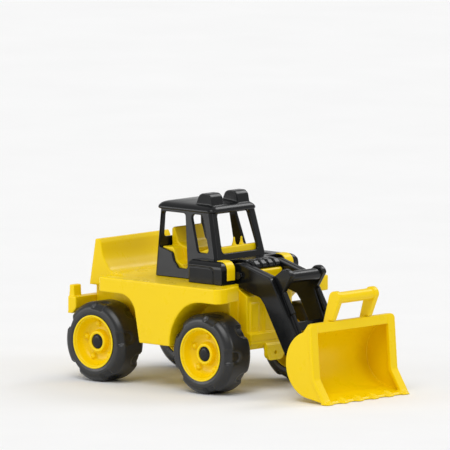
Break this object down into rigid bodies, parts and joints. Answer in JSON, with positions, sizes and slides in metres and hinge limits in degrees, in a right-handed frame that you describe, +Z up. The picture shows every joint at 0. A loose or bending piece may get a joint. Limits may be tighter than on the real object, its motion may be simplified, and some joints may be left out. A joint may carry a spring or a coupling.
{
  "type": "ride on digger",
  "caption": "Ride-on toy loader with a moulded seat, an open cab, free-rolling wheels and lifting arms with a tilting bucket.",
  "frame": {"origin": "bottom centre of the whole object's box, on the ground", "axes": "+X to the front, where the bucket is; +Y to the object's left; +Z up"},
  "size_m": [0.8, 0.394, 0.455],
  "materials": {
    "yellow_plastic": "glossy moulded yellow",
    "black_plastic": "glossy moulded black",
    "tyre_plastic": "satin blow-moulded black",
    "zinc_steel": "zinc plated"
  },
  "bodies": {
    "chassis": {"body_shell": "yellow_plastic", "underbody_pan": "yellow_plastic", "underbody_screws": "zinc_steel", "rear_bumper": "yellow_plastic", "cab_shell": "black_plastic", "cab_roof": "black_plastic", "hood": "black_plastic", "hood_grille": "black_plastic", "cab_interior": "yellow_plastic", "headlight_left": "yellow_plastic", "headlight_right": "yellow_plastic", "arm_pivot_pin": "zinc_steel", "arm_pivot_caps": "black_plastic", "front_axle": "zinc_steel", "rear_axle": "zinc_steel", "axle_nut_front_left": "zinc_steel", "axle_nut_front_right": "zinc_steel", "axle_nut_rear_left": "zinc_steel", "axle_nut_rear_right": "zinc_steel"},
    "loader": {"loader_arm_left": "black_plastic", "loader_arm_right": "black_plastic", "arm_crossbar": "black_plastic", "arm_brace": "black_plastic", "bucket_pivot_pin": "zinc_steel", "bucket_pivot_caps": "black_plastic"},
    "scoop": {"bucket": "yellow_plastic", "bucket_handle": "yellow_plastic"},
    "wheel_front_left": {"tyre_front_left": "tyre_plastic", "rim_front_left": "yellow_plastic", "hub_cap_front_left": "black_plastic"},
    "wheel_front_right": {"tyre_front_right": "tyre_plastic", "rim_front_right": "yellow_plastic", "hub_cap_front_right": "black_plastic"},
    "wheel_rear_left": {"tyre_rear_left": "tyre_plastic", "rim_rear_left": "yellow_plastic", "hub_cap_rear_left": "black_plastic"},
    "wheel_rear_right": {"tyre_rear_right": "tyre_plastic", "rim_rear_right": "yellow_plastic", "hub_cap_rear_right": "black_plastic"}
  },
  "joints": [
    {"name": "arm_lift", "type": "hinge", "parent": "chassis", "child": "loader", "pos_m": [0.06, 0, 0.273], "axis": [0, -1, 0], "range_deg": [0, 50]},
    {"name": "bucket_tilt", "type": "hinge", "parent": "loader", "child": "scoop", "pos_m": [0.224, 0, 0.092], "axis": [0, -1, 0], "range_deg": [-50, 35]},
    {"name": "wheel_front_left_spin", "type": "hinge", "parent": "chassis", "child": "wheel_front_left", "pos_m": [0.0424, 0.1545, 0.095], "axis": [0, 1, 0], "continuous": true},
    {"name": "wheel_front_right_spin", "type": "hinge", "parent": "chassis", "child": "wheel_front_right", "pos_m": [0.0424, -0.1545, 0.095], "axis": [0, 1, 0], "continuous": true},
    {"name": "wheel_rear_left_spin", "type": "hinge", "parent": "chassis", "child": "wheel_rear_left", "pos_m": [-0.3005, 0.1545, 0.095], "axis": [0, 1, 0], "continuous": true},
    {"name": "wheel_rear_right_spin", "type": "hinge", "parent": "chassis", "child": "wheel_rear_right", "pos_m": [-0.3005, -0.1545, 0.095], "axis": [0, 1, 0], "continuous": true}
  ]
}
